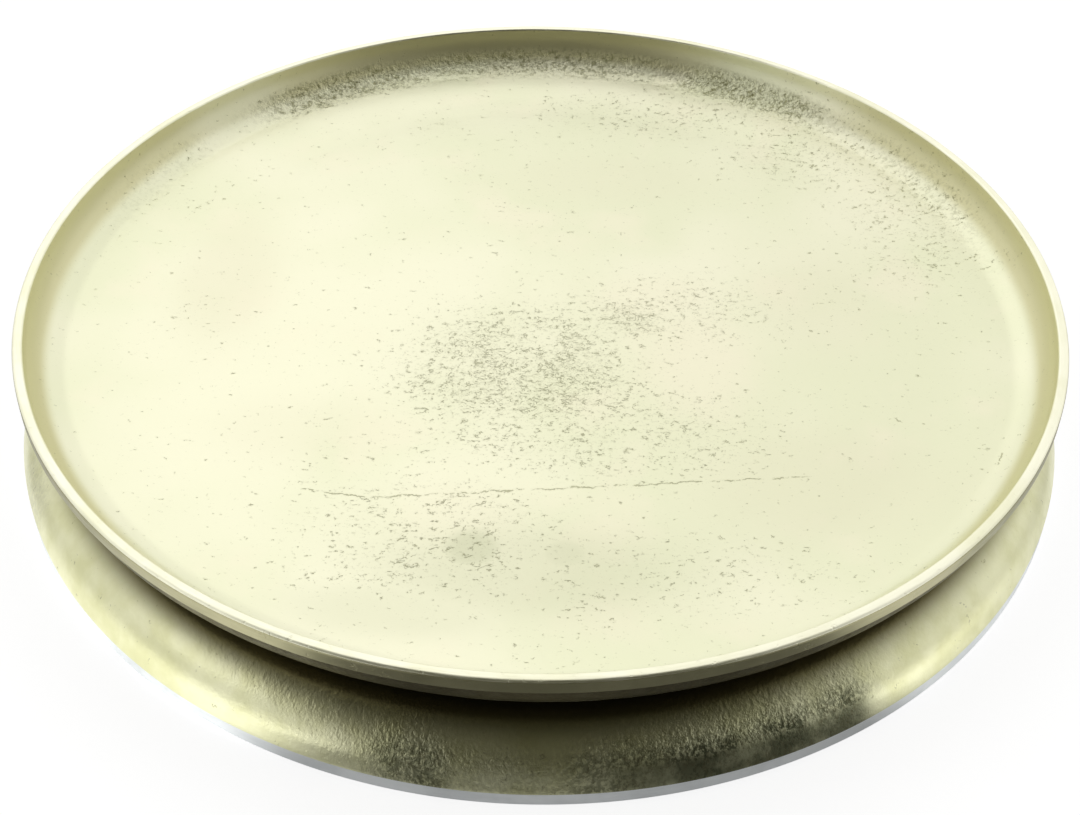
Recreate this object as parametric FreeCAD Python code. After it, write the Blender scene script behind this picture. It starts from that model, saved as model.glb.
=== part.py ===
import FreeCAD, Part
import math
import os

# A cast aluminium candle plate: a shallow dish, bolted from below to the middle of a foot that is
# cast like a second, upturned dish.
# Sizes are in millimetres and angles in degrees. +Z is up. The origin is on the table under the
# plate's centre, so the pads stand at height zero.

# The dish: a flat floor, a low wall that leans outwards, and a rim that stands proud of the wall.
rim_radius = 90.0
lip_width = 1.7
rim_band_height = 2.3
rim_edge_round = 0.35
dish_depth = 8.4
floor_thickness = 2.4
wall_thickness = 1.7
wall_lean_angle = 10.0
inside_corner_round = 8.0
outside_corner_round = 9.2

# The foot: an upturned casting, hollow below. Above a thin upright edge its side leans in and
# rounds over a broad shoulder to a flat top, and a low neck holds the dish clear of that top.
foot_height = 14.1
foot_overhang = 2.1
foot_edge_height = 2.5
foot_edge_round = 0.3
foot_lean_angle = 12.0
shoulder_round = 10.8
neck_radius = 72.0
neck_height = 2.4
foot_web_thickness = 4.4
foot_base_width = 9.0
hollow_lean_angle = 12.0
hollow_corner_round = 5.0

# The joint between the two castings: the dish rests on a flat ring round the neck, and its round
# boss drops through the middle of the foot's web.
seat_width = 9.0
seat_relief = 0.5
boss_radius = 6.5
boss_clearance = 0.3
boss_shortfall = 0.4
boss_edge_round = 0.4
thread_cover = 1.2

# The hexagon bolt with its two washers. Its thread is drawn as a plain shank.
bolt_radius = 2.5
bolt_clearance = 0.1
bolt_tip_gap = 0.6
bolt_tip_chamfer = 0.5
bolt_head_flats = 8.0
bolt_head_height = 3.5
bolt_head_chamfer = 0.45
washer_radius = 5.0
washer_hole_radius = 2.65
washer_thickness = 1.0
spring_washer_radius = 4.6
spring_washer_hole_radius = 2.6
spring_washer_thickness = 1.3
spring_washer_slot = 0.8
spring_washer_slot_angle = 35.0

# The felt pads, glued under the foot at its four quarters.
pad_radius = 3.5
pad_thickness = 0.8
pad_edge_round = 0.15
pad_inset = 4.8
pad_angles = {"front_left_pad": 225.0, "front_right_pad": 315.0,
              "rear_left_pad": 135.0, "rear_right_pad": 45.0}

# How far a cutting shape runs past what it cuts, and the shortest edge worth drawing.
overrun = 1.0
shortest_edge = 0.0005

# The foot's widest radius, and heights above the table.
foot_radius = rim_radius + foot_overhang
foot_bottom = pad_thickness
foot_edge_top = foot_bottom + foot_edge_height
foot_top = foot_bottom + foot_height
shoulder_top = foot_top - neck_height
web_top = foot_top - seat_relief
web_bottom = web_top - foot_web_thickness
dish_bottom = foot_top
floor_top = dish_bottom + floor_thickness
rim_top = floor_top + dish_depth
rim_band_bottom = rim_top - rim_band_height
boss_bottom = web_bottom + boss_shortfall
thread_top = floor_top - thread_cover


def lean(height, angle):
    """How far a face that leans by this angle moves sideways over this height."""
    return height * math.tan(math.radians(angle))


def inside_wall_radius(height):
    """Radius of the dish's inner wall, carried on straight past its rounded corner."""
    return rim_radius - lip_width - lean(rim_top - height, wall_lean_angle)


def outside_wall_radius(height):
    """Radius of the dish's outer wall below the rim."""
    across = wall_thickness / math.cos(math.radians(wall_lean_angle))
    return inside_wall_radius(height) + across


def fitting_round(wanted, height, angle):
    """The wanted rounding of a corner, or the largest that a leaning wall this high has room for."""
    half_turn = math.radians(90.0 - angle) / 2
    return min(wanted, height / math.cos(math.radians(angle)) / math.tan(half_turn))


def outline_point(radius, height):
    """A point of an outline, drawn in the upright plane through the axis."""
    return FreeCAD.Vector(radius, 0, height)


def rounded_outline(corners):
    """A closed face from corners (radius, height, rounding), each rounded by its own amount."""
    arcs = []
    for place, (radius, height, rounding) in enumerate(corners):
        here = outline_point(radius, height)
        last = outline_point(*corners[place - 1][:2])
        following = outline_point(*corners[(place + 1) % len(corners)][:2])
        back = (last - here).normalize()
        ahead = (following - here).normalize()
        half_angle = back.getAngle(ahead) / 2
        run = rounding / math.tan(half_angle)
        depth = rounding / math.sin(half_angle) - rounding
        middle = here + (back + ahead).normalize() * depth if rounding else here
        arcs.append((here + back * run, middle, here + ahead * run))
    edges = []
    for place, (start, middle, end) in enumerate(arcs):
        if corners[place][2]:
            edges.append(Part.Arc(start, middle, end).toShape())
        next_start = arcs[(place + 1) % len(arcs)][0]
        if end.distanceToPoint(next_start) > shortest_edge:
            edges.append(Part.LineSegment(end, next_start).toShape())
    return Part.Face(Part.Wire(edges))


def turned(corners):
    """A round solid from an outline turned about the upright axis."""
    return rounded_outline(corners).revolve(FreeCAD.Vector(0, 0, 0), FreeCAD.Vector(0, 0, 1), 360)


def cylinder(radius, bottom, top):
    """An upright cylinder on the axis between two heights."""
    return Part.makeCylinder(radius, top - bottom, FreeCAD.Vector(0, 0, bottom))


def make_dish():
    """The dish with its rim, its rounded corners and the threaded boss under its middle."""
    rim_step = rim_radius - outside_wall_radius(rim_band_bottom)
    step_bottom = rim_band_bottom - rim_step
    outside_round = fitting_round(outside_corner_round, step_bottom - dish_bottom, wall_lean_angle)
    inside_round = fitting_round(inside_corner_round, rim_band_bottom - floor_top, wall_lean_angle)
    body = turned([
        (0, boss_bottom, 0),
        (boss_radius, boss_bottom, boss_edge_round),
        (boss_radius, dish_bottom, 0),
        (outside_wall_radius(dish_bottom), dish_bottom, outside_round),
        (outside_wall_radius(step_bottom), step_bottom, 0),
        (rim_radius, rim_band_bottom, 0),
        (rim_radius, rim_top, rim_edge_round),
        (inside_wall_radius(rim_top), rim_top, rim_edge_round),
        (inside_wall_radius(floor_top), floor_top, inside_round),
        (0, floor_top, 0),
    ])
    return body.cut(cylinder(bolt_radius + bolt_clearance, boss_bottom - overrun, thread_top))


def make_foot():
    """The foot: its edge and shoulder, its flat base ring, its web and the neck under the dish."""
    side_height = shoulder_top - foot_edge_top
    shoulder_radius = foot_radius - lean(side_height, foot_lean_angle)
    base_inner_radius = foot_radius - foot_base_width
    hollow_radius = base_inner_radius - lean(web_bottom - foot_bottom, hollow_lean_angle)
    hole_radius = boss_radius + boss_clearance
    seat_inner_radius = neck_radius - seat_width
    return turned([
        (base_inner_radius, foot_bottom, foot_edge_round),
        (foot_radius, foot_bottom, foot_edge_round),
        (foot_radius, foot_edge_top, 0),
        (shoulder_radius, shoulder_top, fitting_round(shoulder_round, side_height, foot_lean_angle)),
        (neck_radius, shoulder_top, 0),
        (neck_radius, foot_top, 0),
        (seat_inner_radius, foot_top, 0),
        (seat_inner_radius, web_top, 0),
        (hole_radius, web_top, 0),
        (hole_radius, web_bottom, 0),
        (hollow_radius, web_bottom, hollow_corner_round),
    ])


def make_washer():
    """The flat washer against the underside of the foot's web."""
    ring = cylinder(washer_radius, web_bottom - washer_thickness, web_bottom)
    return ring.cut(cylinder(washer_hole_radius, web_bottom - washer_thickness - overrun, web_bottom + overrun))


spring_washer_top = web_bottom - washer_thickness
bolt_head_top = spring_washer_top - spring_washer_thickness
bolt_head_bottom = bolt_head_top - bolt_head_height


def make_spring_washer():
    """The split spring washer between the flat washer and the bolt's head."""
    ring = cylinder(spring_washer_radius, bolt_head_top, spring_washer_top)
    ring = ring.cut(cylinder(spring_washer_hole_radius, bolt_head_top - overrun, spring_washer_top + overrun))
    slot_height = spring_washer_thickness + spring_washer_slot + 2 * overrun
    slot = Part.makeBox(spring_washer_radius + overrun, spring_washer_slot, slot_height)
    slot.translate(FreeCAD.Vector(0, -spring_washer_slot / 2, -slot_height / 2))
    slot.rotate(FreeCAD.Vector(0, 0, 0), FreeCAD.Vector(1, 0, 0), spring_washer_slot_angle)
    slot.translate(FreeCAD.Vector(0, 0, (bolt_head_top + spring_washer_top) / 2))
    return ring.cut(slot)


def make_bolt():
    """The hexagon bolt that comes up from below into the dish's boss."""
    corner_radius = bolt_head_flats / 2 / math.cos(math.radians(30.0))
    points = []
    for step in range(7):
        angle = math.radians(60.0 * step)
        points.append(FreeCAD.Vector(corner_radius * math.cos(angle), corner_radius * math.sin(angle), bolt_head_bottom))
    prism = Part.Face(Part.makePolygon(points)).extrude(FreeCAD.Vector(0, 0, bolt_head_height))
    flats_radius = bolt_head_flats / 2
    crown_radius = flats_radius + bolt_head_height * (corner_radius - flats_radius) / bolt_head_chamfer
    crown = Part.makeCone(flats_radius, crown_radius, bolt_head_height, FreeCAD.Vector(0, 0, bolt_head_bottom))
    head = prism.common(crown)
    tip = thread_top - bolt_tip_gap
    shank = turned([
        (0, bolt_head_top - bolt_head_height / 2, 0),
        (bolt_radius, bolt_head_top - bolt_head_height / 2, 0),
        (bolt_radius, tip - bolt_tip_chamfer, 0),
        (bolt_radius - bolt_tip_chamfer, tip, 0),
        (0, tip, 0),
    ])
    return head.fuse(shank).removeSplitter()


def make_pad(angle):
    """One round felt pad under the foot, at this angle round from +X."""
    pad = turned([
        (0, 0, 0),
        (pad_radius, 0, pad_edge_round),
        (pad_radius, pad_thickness, 0),
        (0, pad_thickness, 0),
    ])
    pad.translate(FreeCAD.Vector(foot_radius - pad_inset, 0, 0))
    pad.rotate(FreeCAD.Vector(0, 0, 0), FreeCAD.Vector(0, 0, 1), angle)
    return pad


def main():
    """Makes every piece and writes each one to its own file."""
    pieces = {
        "dish": make_dish(),
        "foot": make_foot(),
        "centre_bolt": make_bolt(),
        "flat_washer": make_washer(),
        "spring_washer": make_spring_washer(),
    }
    for name, angle in pad_angles.items():
        pieces[name] = make_pad(angle)
    os.makedirs("parts", exist_ok=True)
    for name, shape in pieces.items():
        shape.exportStep("parts/" + name + ".step")
        box = shape.BoundBox
        print(name, "solids", len(shape.Solids), "valid", shape.isValid(), "volume", round(shape.Volume, 1),
              "heights", round(box.ZMin, 3), round(box.ZMax, 3))


main()
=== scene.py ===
"""The looks of a cast metal candle plate: its two castings, what joins them, its felt pads and the studio."""

import logging
import math
from dataclasses import astuple, dataclass
from enum import Enum
from typing import Callable, Iterable, Sequence

import bmesh
import bpy
from mathutils import Matrix, Vector, noise


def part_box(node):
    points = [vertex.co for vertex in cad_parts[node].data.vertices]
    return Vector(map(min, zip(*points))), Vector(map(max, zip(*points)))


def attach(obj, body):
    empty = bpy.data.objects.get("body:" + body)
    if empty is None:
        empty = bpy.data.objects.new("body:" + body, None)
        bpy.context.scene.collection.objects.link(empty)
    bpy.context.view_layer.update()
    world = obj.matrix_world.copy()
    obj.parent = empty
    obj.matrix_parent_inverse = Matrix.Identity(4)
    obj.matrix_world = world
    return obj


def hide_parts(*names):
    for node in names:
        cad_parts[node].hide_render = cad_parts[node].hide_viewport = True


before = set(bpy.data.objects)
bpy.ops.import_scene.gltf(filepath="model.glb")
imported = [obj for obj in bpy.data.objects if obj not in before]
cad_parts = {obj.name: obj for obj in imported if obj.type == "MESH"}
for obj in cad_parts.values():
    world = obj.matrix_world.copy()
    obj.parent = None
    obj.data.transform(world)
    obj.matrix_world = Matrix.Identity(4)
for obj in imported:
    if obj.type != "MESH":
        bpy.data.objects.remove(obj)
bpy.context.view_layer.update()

LOG = logging.getLogger("candle_plate")
MM = 0.001
BODY = "root"

# Millimetres within which two heights or two radii count as one.
NEAR = 0.1

# The level about which a noise varies, and two levels that it seldom passes.
NOISE_MIDDLE = 0.5
NOISE_LOW = 0.3
NOISE_HIGH = 0.7

# How small the middle of a finish's patch is, and how fast the patch fades beyond it.
PATCH_NARROWING = 1.5
PATCH_STEEPNESS = 5.0

WHITE = (1.0, 1.0, 1.0)
STEP_INPUTS = ("Value", "From Min", "From Max", "To Min", "To Max")
NOISE_INPUTS = ("Vector", "Scale", "Detail", "Roughness", "Distortion")

# The places of a colour mix's share and two colours, and of its result.
MIX_INPUTS = (0, 6, 7)
MIX_RESULT = 2

Triple = tuple[float, float, float]
Colour = Triple
Material = bpy.types.Material
Socket = bpy.types.NodeSocket


class Zone(Enum):
    """The parts of a casting that are finished in different ways; the rim's outer band and the dish's
    underside are also darkened as painted shade.
    """

    INSIDE = 0
    LAND = 1
    BAND = 2
    SIDE = 3
    GROUND = 4
    UNDER = 5
    RAW = 6


@dataclass(frozen=True)
class Grain:
    """A noise texture: waves per metre, its finer layers, their strength and how far it is swirled."""

    scale: float
    detail: float = 3.0
    roughness: float = 0.6
    swirl: float = 0.0


@dataclass(frozen=True)
class Span:
    """A smooth step: the values between which it runs, and what it gives at each of them."""

    low: float
    high: float
    start: float = 0.0
    end: float = 1.0

    def metres(self) -> "Span":
        """Returns the step with its values, given in millimetres, in metres."""
        return Span(self.low * MM, self.high * MM, self.start, self.end)


@dataclass(frozen=True)
class Bump:
    """How deep a relief of height 1 is, in millimetres, and the share of it that shows."""

    depth: float
    strength: float = 0.8


@dataclass(frozen=True)
class Blotches:
    """A noise texture and the step that turns it into a share."""

    grain: Grain
    step: Span


@dataclass(frozen=True)
class Worms:
    """Short, thin, winding pits: the middle line of one noise, kept where a coarser noise is above a level.

    The level falls with the share of pits, and over the softness above it they reach their full depth.
    """

    scale: float
    width: float
    detail: float = 2.0
    coarser: float = 0.75
    shift: float = 11.0
    level: float = 0.67
    level_fall: float = 0.22
    softness: float = 0.05


@dataclass(frozen=True)
class Patch:
    """A round or oval patch of a casting, seen from above. Lengths are in millimetres."""

    x: float
    y: float
    reach_x: float
    reach_y: float
    strength: float


@dataclass(frozen=True)
class Scratch:
    """A straight scratch on the dish's floor: its middle, its angle in degrees and half its size."""

    x: float
    y: float
    angle: float
    length: float
    width: float


class Graph:
    """A node tree with short ways to add and join its nodes."""

    def __init__(self, owner: Material | bpy.types.World, coordinates: str = "Object") -> None:
        """Empties the tree and adds its coordinates.

        Args:
            owner: The material or the world that the tree belongs to.
            coordinates: The name of its coordinates.
        """
        self.owner = owner
        owner.use_nodes = True
        self.tree = owner.node_tree
        self.tree.nodes.clear()
        self.where = self.node("TexCoord", {}).outputs[coordinates]

    def feed(self, socket: Socket, value: object) -> None:
        """Joins a socket to another, or writes a plain value on it.

        Args:
            socket: The input.
            value: A socket, a number, a vector or a colour.
        """
        if isinstance(value, Socket):
            self.tree.links.new(value, socket)
        elif isinstance(value, tuple) and len(value) == 3 and len(socket.default_value) == 4:
            socket.default_value = (*value, 1.0)
        else:
            socket.default_value = value

    def node(self, kind: str, inputs: dict[str | int, object], **settings: object) -> bpy.types.Node:
        """Adds a node.

        Args:
            kind: The node's type name, without its first word.
            inputs: The value of each input, by its name or place.
            settings: Properties of the node.

        Returns:
            The new node.
        """
        made = self.tree.nodes.new("ShaderNode" + kind)
        for name, value in settings.items():
            setattr(made, name, value)
        for name, value in inputs.items():
            self.feed(made.inputs[name], value)
        return made

    def math(self, operation: str, *values: object, clamp: bool = False) -> Socket:
        """Returns the socket of a sum of one to three values, clamped to between 0 and 1 if asked."""
        made = self.node("Math", dict(enumerate(values)), operation=operation, use_clamp=clamp)
        return made.outputs[0]

    def times(self, first: object, second: object) -> Socket:
        """Returns the product of two values."""
        return self.math("MULTIPLY", first, second)

    def plus(self, first: object, second: object) -> Socket:
        """Returns two values added together."""
        return self.math("ADD", first, second)

    def minus(self, first: object, second: object) -> Socket:
        """Returns the first value less the second."""
        return self.math("SUBTRACT", first, second)

    def most(self, first: object, second: object) -> Socket:
        """Returns the greater of two values."""
        return self.math("MAXIMUM", first, second)

    def vector_math(self, operation: str, *values: object, result: str = "Vector") -> Socket:
        """Returns the socket of a sum of vectors, and of the named result where it is a number."""
        return self.node("VectorMath", dict(enumerate(values)), operation=operation).outputs[result]

    def split(self, vector: Socket) -> Sequence[Socket]:
        """Returns the sockets of a vector's three parts."""
        return list(self.node("SeparateXYZ", {0: vector}).outputs)

    def along(self, direction: Socket, axis: Triple) -> Socket:
        """Returns the socket of how far a direction follows an axis."""
        return self.vector_math("DOT_PRODUCT", direction, axis, result="Value")

    def span(self, value: object, step: Span) -> Socket:
        """Returns the socket of a value mapped by a smooth step."""
        inputs = dict(zip(STEP_INPUTS, (value, *astuple(step))))
        return self.node("MapRange", inputs, interpolation_type="SMOOTHSTEP").outputs[0]

    def varied(self, level: Socket, middle: float, variation: tuple[float, float]) -> Socket:
        """Returns a roughness that follows a noise, from less below its middle to more above it."""
        less, more = variation
        return self.span(level, Span(NOISE_LOW, NOISE_HIGH, middle - less, middle + more))

    def mix(self, share: object, first: object, second: object) -> Socket:
        """Returns the socket of two colours mixed by a share of the second."""
        inputs = dict(zip(MIX_INPUTS, (share, first, second)))
        return self.node("Mix", inputs, data_type="RGBA").outputs[MIX_RESULT]

    def noise(self, grain: Grain, where: Socket | None = None) -> Socket:
        """Returns the socket of a noise's level, at the tree's own coordinates or at others."""
        place = self.where if where is None else where
        return self.node("TexNoise", dict(zip(NOISE_INPUTS, (place, *astuple(grain))))).outputs["Fac"]

    def blotches(self, blotches: Blotches) -> Socket:
        """Returns the socket of a noise's share."""
        return self.span(self.noise(blotches.grain), blotches.step)

    def flat(self) -> Socket:
        """Returns the socket of the coordinates with no height."""
        return self.vector_math("MULTIPLY", self.where, (1.0, 1.0, 0.0))

    def reach(self) -> Socket:
        """Returns the socket of the distance from the upright axis."""
        return self.vector_math("LENGTH", self.flat(), result="Value")

    def within(self, patches: Sequence[Patch]) -> Socket:
        """How far each place lies within some patches.

        Args:
            patches: The patches.

        Returns:
            The share's socket, each patch's own strength at its middle.
        """
        total: object = 0.0
        for patch in patches:
            offset = self.vector_math("SUBTRACT", self.where, (patch.x * MM, patch.y * MM, 0.0))
            shrunk = (1 / (patch.reach_x * MM), 1 / (patch.reach_y * MM), 0.0)
            away = self.vector_math("LENGTH", self.vector_math("MULTIPLY", offset, shrunk), result="Value")
            fall = self.math("POWER", self.times(away, PATCH_NARROWING), PATCH_STEEPNESS)
            total = self.most(total, self.math("DIVIDE", patch.strength, self.plus(fall, 1.0)))
        return total

    def worms(self, where: Socket, pits: Worms, share: Socket) -> Socket:
        """Adds short, thin, winding pits.

        Args:
            where: The coordinates' socket.
            pits: Their settings.
            share: How many of them there are, from 0 to 1.

        Returns:
            The depth's socket, from 0 to 1.
        """
        offset = self.minus(self.noise(Grain(pits.scale, pits.detail), where), NOISE_MIDDLE)
        away = self.math("DIVIDE", self.math("ABSOLUTE", offset), pits.width)
        line = self.math("SUBTRACT", 1.0, away, clamp=True)
        level = self.minus(pits.level, self.times(share, pits.level_fall))
        coarser = self.noise(Grain(pits.coarser * pits.scale + pits.shift, pits.detail), where)
        kept = self.math("DIVIDE", self.minus(coarser, level), pits.softness, clamp=True)
        return self.times(line, kept)

    def round_place(self, radius: float, across: float = 1.0) -> Socket:
        """Coordinates that follow a round surface, with no seam.

        Args:
            radius: The radius at which a length round the axis is true, in millimetres.
            across: How much a length across the surface counts.

        Returns:
            A vector that is the place round the axis, and last the place across the surface.
        """
        direction = self.vector_math("NORMALIZE", self.flat())
        around = self.vector_math("MULTIPLY", direction, (radius * MM,) * 3)
        run = self.times(self.minus(self.split(self.where)[2], self.reach()), across)
        return self.vector_math("ADD", around, self.node("CombineXYZ", {2: run}).outputs[0])

    def metal(self, colour: object, rough: object, height: Socket, bump: Bump,
              metallic: float = 1.0) -> Material:
        """Adds the shader with its relief, and the output.

        Args:
            colour: The base colour.
            rough: The roughness.
            height: The relief's height.
            bump: How deep the relief is.
            metallic: 1 for metal, 0 for anything else.

        Returns:
            The finished material.
        """
        depth = {"Strength": bump.strength, "Distance": bump.depth * MM, "Height": height}
        normal = self.node("Bump", depth).outputs[0]
        looks = {"Base Color": colour, "Metallic": metallic, "Roughness": rough, "Normal": normal}
        shader = self.node("BsdfPrincipled", looks)
        self.node("OutputMaterial", {0: shader.outputs[0]})
        return self.owner


@dataclass(frozen=True)
class BurnishedFloor:
    """The inside of the dish: a sand-cast skin, rubbed down so that pits stay in patches, with painted shade
    on its inner wall.
    """

    name: str = "burnished_floor"
    pale: Colour = (0.94, 0.925, 0.69)
    green: Colour = (0.87, 0.88, 0.62)
    rosy: Colour = (0.95, 0.905, 0.68)
    stain: Colour = (0.66, 0.67, 0.46)
    cloud: Colour = (0.84, 0.80, 0.58)
    # The inner wall's colour: painted shade, darker than the floor.
    wall: Colour = (0.74, 0.71, 0.43)
    pit: Colour = (0.27, 0.262, 0.11)
    smooth: float = 0.285
    coarse: float = 0.40
    wall_coarser: float = 0.12
    metallic: float = 0.70
    fillet_reach: Span = Span(79.5, 83.8)
    wall_height: Span = Span(19.3, 20.9)
    fleck_height: Span = Span(22.6, 20.6)
    drift: Grain = Grain(70.0)
    patch_drift: Span = Span(0.26, 0.52, 0.55, 1.0)
    fillet_drift: Span = Span(0.30, 0.56, 0.40, 1.0)
    thin_skin: Blotches = Blotches(Grain(42.0, 3.0, 0.5), Span(0.54, 0.80, 0.0, 0.30))
    green_blotches: Blotches = Blotches(Grain(24.0, 2.0, 0.5), Span(0.36, 0.66))
    rosy_blotches: Blotches = Blotches(Grain(52.0, 3.0, 0.5), Span(0.52, 0.74, 0.0, 0.6))
    pit_stretch: Triple = (0.72, 1.0, 1.0)
    pits: Worms = Worms(1400.0, 0.048)
    pit_depth: float = 0.8
    pit_darkness: float = 0.70
    specks: Worms = Worms(2300.0, 0.08)
    speck_share: float = 0.40
    flecks: Grain = Grain(1300.0, 3.0, 0.65)
    fleck_relief: float = 4.4
    fleck_blotches: Blotches = Blotches(Grain(1000.0, 4.0, 0.65), Span(0.46, 0.66))
    fleck_darkness: float = 0.80
    lumps: Grain = Grain(430.0)
    lump_relief: float = 0.35
    bump: Bump = Bump(0.07, 0.9)
    patches: tuple[Patch, ...] = (
        Patch(-3, -14, 30, 24, 1.00),
        Patch(17, 0, 12, 9, 0.95),
        Patch(22, 2, 32, 16, 0.55),
        Patch(10, -30, 44, 18, 0.60),
        Patch(-16, -54, 32, 20, 0.52),
        Patch(20, -62, 40, 14, 0.38),
        Patch(70, 30, 17, 30, 0.52),
        Patch(54, 54, 24, 17, 0.52),
        Patch(26, 68, 40, 14, 0.46),
    )
    clouds: tuple[Patch, ...] = (
        Patch(-57, 10, 13, 26, 0.46),
        Patch(-40, -30, 20, 12, 0.25),
        Patch(46, -42, 30, 18, 0.34),
        Patch(50, 6, 16, 22, 0.28),
        Patch(12, 44, 30, 12, 0.22),
    )
    rosy_patches: tuple[Patch, ...] = (
        Patch(27, -12, 15, 20, 0.75),
        Patch(20, 6, 15, 9, 0.55),
        Patch(-13, -50, 14, 10, 0.45),
    )
    rough_fillets: tuple[Patch, ...] = (
        Patch(-40, 72, 34, 16, 1.0),
        Patch(0, 84, 46, 10, 0.9),
        Patch(42, 72, 30, 18, 1.0),
        Patch(74, 42, 16, 34, 0.42),
        Patch(-74, 42, 14, 26, 0.18),
    )
    # Patches of the inner wall left out of its painted shade, where it catches light.
    lit_wall_patches: tuple[Patch, ...] = (
        Patch(50, 72, 30, 22, 1.0),
        Patch(-62, 60, 16, 18, 0.6),
    )
    stains: tuple[Patch, ...] = (
        Patch(-10, -57, 7, 6, 0.82),
        Patch(4, -58, 6, 5, 0.62),
        Patch(-2, -62, 32, 15, 0.46),
        Patch(-20, -70, 26, 9, 0.34),
    )
    scratches: tuple[Scratch, ...] = (
        Scratch(8.5, -43.2, 4.8, 37.0, 0.18),
        Scratch(-32.0, -45.4, -9.0, 6.0, 0.16),
        Scratch(74.3, -37.0, 62.0, 1.7, 0.20),
        Scratch(-44.4, 68.0, 35.0, 1.1, 0.26),
    )
    scratch_wobble: Grain = Grain(380.0, 4.0, 0.75)
    scratch_wobble_size: float = 1.9
    scratch_breaks: Blotches = Blotches(Grain(800.0), Span(0.40, 0.56, 0.0, 0.85))
    scratch_bottom: float = 0.3
    scratch_taper: float = 0.85

    def scratched(self, graph: Graph) -> Socket:
        """How deep a scratch is at each place.

        Args:
            graph: The node tree.

        Returns:
            The depth's socket, from 0 to 1.
        """
        wobble = graph.minus(graph.noise(self.scratch_wobble), NOISE_MIDDLE)
        wobble = graph.times(wobble, self.scratch_wobble_size * MM)
        total: object = 0.0
        for scratch in self.scratches:
            turned = graph.node("Mapping", {
                "Vector": graph.where,
                "Location": (scratch.x * MM, scratch.y * MM, 0.0),
                "Rotation": (0.0, 0.0, math.radians(scratch.angle)),
            }, vector_type="TEXTURE")
            along, across, _ = graph.split(turned.outputs[0])
            aside = graph.math("ABSOLUTE", graph.plus(across, wobble))
            line = graph.span(aside, Span(scratch.width, self.scratch_bottom * scratch.width).metres())
            ends = Span(scratch.length, self.scratch_taper * scratch.length).metres()
            total = graph.most(total, graph.times(line, graph.span(graph.math("ABSOLUTE", along), ends)))
        return graph.times(total, graph.blotches(self.scratch_breaks))

    def tint(self, graph: Graph, wall: Socket, fillet: Socket) -> Socket:
        """The colour without its pits.

        Args:
            graph: The node tree.
            wall: The share of the wall.
            fillet: The share of the rough rounding below the wall.

        Returns:
            The colour's socket.
        """
        tint = graph.mix(graph.blotches(self.green_blotches), self.pale, self.green)
        tint = graph.mix(graph.blotches(self.rosy_blotches), tint, self.rosy)
        tint = graph.mix(graph.within(self.clouds), tint, self.cloud)
        tint = graph.mix(graph.within(self.rosy_patches), tint, self.rosy)
        tint = graph.mix(graph.within(self.stains), tint, self.stain)
        # Painted shade: the inner wall is darkened, except in the patches where it catches light.
        painted_wall_shade = graph.times(wall, graph.minus(1.0, graph.within(self.lit_wall_patches)))
        tint = graph.mix(painted_wall_shade, tint, self.wall)
        flecked = graph.times(fillet, self.fleck_darkness)
        flecked = graph.times(graph.blotches(self.fleck_blotches), flecked)
        return graph.mix(flecked, tint, self.pit)

    def make(self) -> Material:
        """Makes the material.

        Returns:
            The material.
        """
        graph = Graph(bpy.data.materials.new(self.name))
        height = graph.split(graph.where)[2]
        wall = graph.span(height, self.wall_height.metres())
        fillet = graph.span(graph.reach(), self.fillet_reach.metres())
        fillet = graph.times(fillet, graph.within(self.rough_fillets))
        fillet = graph.times(fillet, graph.span(height, self.fleck_height.metres()))
        drift = graph.noise(self.drift)
        skin = graph.times(graph.within(self.patches), graph.span(drift, self.patch_drift))
        skin = graph.most(skin, graph.blotches(self.thin_skin))
        skin = graph.most(skin, graph.times(fillet, graph.span(drift, self.fillet_drift)))
        drawn = graph.vector_math("MULTIPLY", graph.where, self.pit_stretch)
        pits = graph.most(graph.worms(drawn, self.pits, skin), self.scratched(graph))
        specks = graph.times(graph.worms(drawn, self.specks, skin), self.speck_share)
        flecks = graph.times(graph.noise(self.flecks), graph.times(fillet, self.fleck_relief))
        lumps = graph.times(graph.noise(self.lumps), self.lump_relief)
        relief = graph.minus(graph.plus(lumps, flecks), graph.times(pits, self.pit_depth))
        pitted = graph.times(graph.most(pits, specks), self.pit_darkness)
        colour = graph.mix(pitted, self.tint(graph, wall, fillet), self.pit)
        rough = graph.plus(graph.times(skin, self.coarse - self.smooth), self.smooth)
        rough = graph.math("ADD", rough, graph.times(wall, self.wall_coarser), clamp=True)
        return graph.metal(colour, rough, relief, self.bump, self.metallic)


@dataclass(frozen=True)
class RubbedLand:
    """The rim's flat lip, rubbed bright along the rim, or its outer band in a much darker copy that is
    painted shade; both with fine lines round them.
    """

    name: str = "rubbed_land"
    bright: Colour = (0.95, 0.935, 0.745)
    worn: Colour = (0.85, 0.84, 0.60)
    roughness: float = 0.33
    variation: tuple[float, float] = (0.04, 0.12)
    line_radius: float = 4.0
    lines: Grain = Grain(5200.0, 2.0)
    line_height: float = 0.25
    nicks: Blotches = Blotches(Grain(900.0), Span(0.62, 0.70))
    wear: Blotches = Blotches(Grain(70.0), Span(0.40, 0.68, 0.0, 0.7))
    bump: Bump = Bump(0.035)

    def make(self) -> Material:
        """Makes the material.

        Returns:
            The material.
        """
        graph = Graph(bpy.data.materials.new(self.name))
        lines = graph.noise(self.lines, graph.round_place(self.line_radius))
        colour = graph.mix(graph.blotches(self.wear), self.bright, self.worn)
        height = graph.minus(graph.times(lines, self.line_height), graph.blotches(self.nicks))
        rough = graph.varied(lines, self.roughness, self.variation)
        return graph.metal(colour, rough, height, self.bump)


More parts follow.
